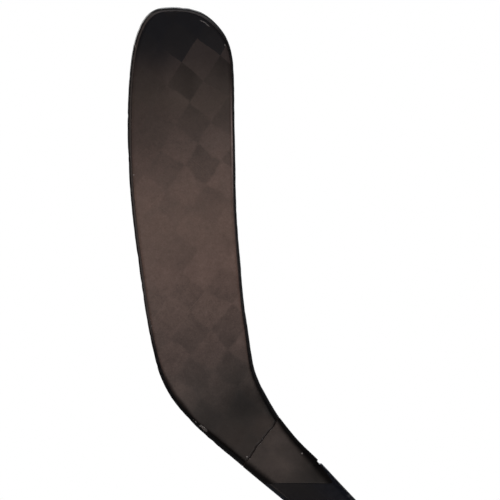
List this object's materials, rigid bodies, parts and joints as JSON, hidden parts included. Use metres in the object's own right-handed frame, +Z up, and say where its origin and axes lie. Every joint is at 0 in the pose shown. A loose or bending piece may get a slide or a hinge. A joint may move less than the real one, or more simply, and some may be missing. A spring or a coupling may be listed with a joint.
{
  "type": "ice hockey replacement blade",
  "caption": "Composite ice hockey blade with curved open face, woven laminate skins, black edge band, tapered hosel and a plug-in tenon for a standard shaft.",
  "frame": {"origin": "centre of the shoulder face, on the tenon's axis, where the hosel stops against the end of the shaft", "axes": "+Z up along the blade toward the toe, -Y out of the forehand (concave) face, +X toward the top edge; the tenon leaves the origin toward +X and -Z, 43.5 degrees below horizontal"},
  "size_m": [0.219, 0.0612, 0.4263],
  "materials": {
    "laminate": "satin clear coat over spread-tow carbon, used",
    "edge_resin": "black resin-rich carbon edge, satin, scuffed",
    "inner_laminate": "plain carbon rib",
    "foam": "closed-cell foam",
    "adhesive": "cured adhesive bead",
    "sleeve_gloss": "blue-black clear coat",
    "tenon_laminate": "sanded carbon laminate",
    "hot_melt": "amber hot-melt film",
    "cap": "moulded black plastic"
  },
  "bodies": {
    "root": {"front_skin": "laminate", "back_skin": "laminate", "edge_band": "edge_resin", "toe_core": "foam", "upper_core": "foam", "lower_core": "foam", "heel_core": "foam", "center_rib": "inner_laminate", "toe_web": "inner_laminate", "heel_web": "inner_laminate", "seam_bead": "adhesive", "hosel_wrap": "laminate", "hosel_core": "foam", "end_sleeve": "sleeve_gloss", "shoulder_collar": "sleeve_gloss", "tenon": "tenon_laminate", "tenon_core": "foam", "glue_strips": "hot_melt", "tenon_end_cap": "cap"}
  },
  "joints": []
}
